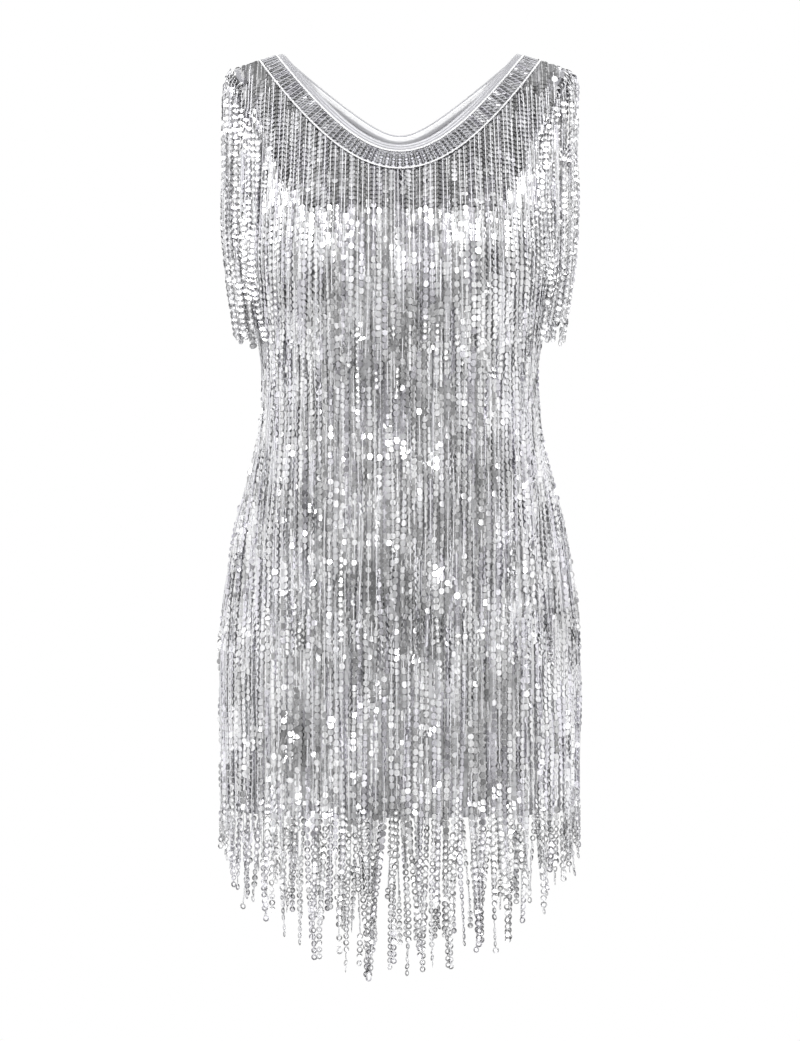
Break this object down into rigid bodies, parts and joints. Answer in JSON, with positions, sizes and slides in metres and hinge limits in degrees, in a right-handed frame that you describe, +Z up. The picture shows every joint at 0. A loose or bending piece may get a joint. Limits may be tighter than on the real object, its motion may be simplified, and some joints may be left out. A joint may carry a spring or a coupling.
{
  "type": "latin dance dress",
  "caption": "Sleeveless mini dress hung all over with strings of silver sequins, scooped neck, fringed shoulders and an arc-shaped fringed hem, hollow as worn.",
  "frame": {"origin": "where the wearer's shoulders hold the dress: midway between the two shoulder seams, level with their middles", "axes": "+Z up, the front faces -Y, +X to the right of someone who looks at the front"},
  "size_m": [0.3382, 0.2396, 0.8684],
  "materials": {
    "sequined_cloth": "knit cloth under rows of silver sequins",
    "flattened_strings": "flattened strings of silver sequins",
    "binding": "pale satin-faced binding",
    "sequin_strings": "silver metallised film sequins on thread"
  },
  "bodies": {
    "root": {"front_body": "sequined_cloth", "back_body": "sequined_cloth", "front_neck_band": "flattened_strings", "back_neck_band": "flattened_strings", "front_neck_binding": "binding", "back_neck_binding": "binding", "armhole_binding_left": "binding", "armhole_binding_right": "binding", "shoulder_fringe_left": "sequin_strings", "shoulder_fringe_right": "sequin_strings", "hem_fringe_front": "sequin_strings", "hem_fringe_back": "sequin_strings"}
  },
  "joints": []
}
